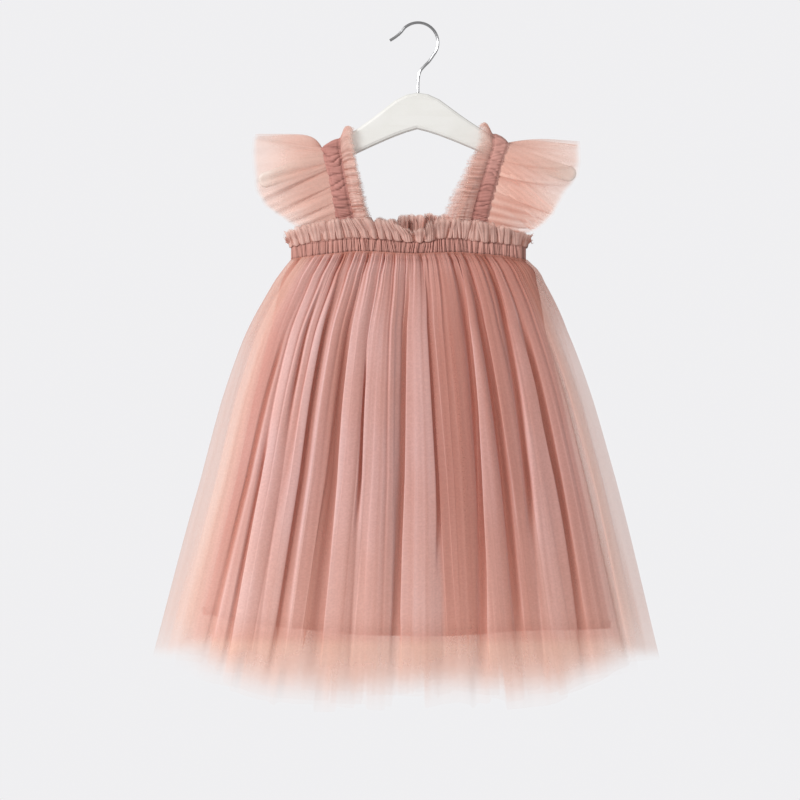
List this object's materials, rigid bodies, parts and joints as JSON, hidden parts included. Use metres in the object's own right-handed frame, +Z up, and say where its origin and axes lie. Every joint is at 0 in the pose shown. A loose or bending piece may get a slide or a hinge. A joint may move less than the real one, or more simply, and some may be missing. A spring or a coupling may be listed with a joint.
{
  "type": "girl's tulle dress on a hanger",
  "caption": "Girl's princess dress of sheer pleated tulle over a lining, with an elastic frilled band, ruched straps and flutter sleeves, hung on a plain wooden hanger.",
  "frame": {"origin": "underside of the hook's bow at its crown, where a rail carries the hanger", "axes": "+Z up along the hanging line, front of the dress towards -Y, +X to the viewer's right as seen from the front"},
  "size_m": [0.5055, 0.1154, 0.6793],
  "materials": {
    "bright_steel": "bright drawn wire",
    "white_paint": "matt white paint on wood",
    "top_tulle": "sheer dusty pink tulle",
    "under_tulle": "sheer dusty pink tulle",
    "lining": "plain woven lining, opaque",
    "band_cloth": "tulle over lining, ruched on elastic",
    "frill_tulle": "doubled tulle with raw edges",
    "strap_cloth": "lining cloth, ruched on elastic",
    "sleeve_tulle": "sheer dusty pink tulle"
  },
  "bodies": {
    "root": {"hook": "bright_steel", "hanger": "white_paint", "skirt_top_tulle_front": "top_tulle", "skirt_top_tulle_back": "top_tulle", "skirt_under_tulle_front": "under_tulle", "skirt_under_tulle_back": "under_tulle", "skirt_lining_front": "lining", "skirt_lining_back": "lining", "waistband_front": "band_cloth", "waistband_back": "band_cloth", "header_frill_front": "frill_tulle", "header_frill_back": "frill_tulle", "strap_left": "strap_cloth", "strap_right": "strap_cloth", "neck_frill_left": "frill_tulle", "neck_frill_right": "frill_tulle", "flutter_sleeve_left": "sleeve_tulle", "flutter_sleeve_right": "sleeve_tulle"}
  },
  "joints": []
}
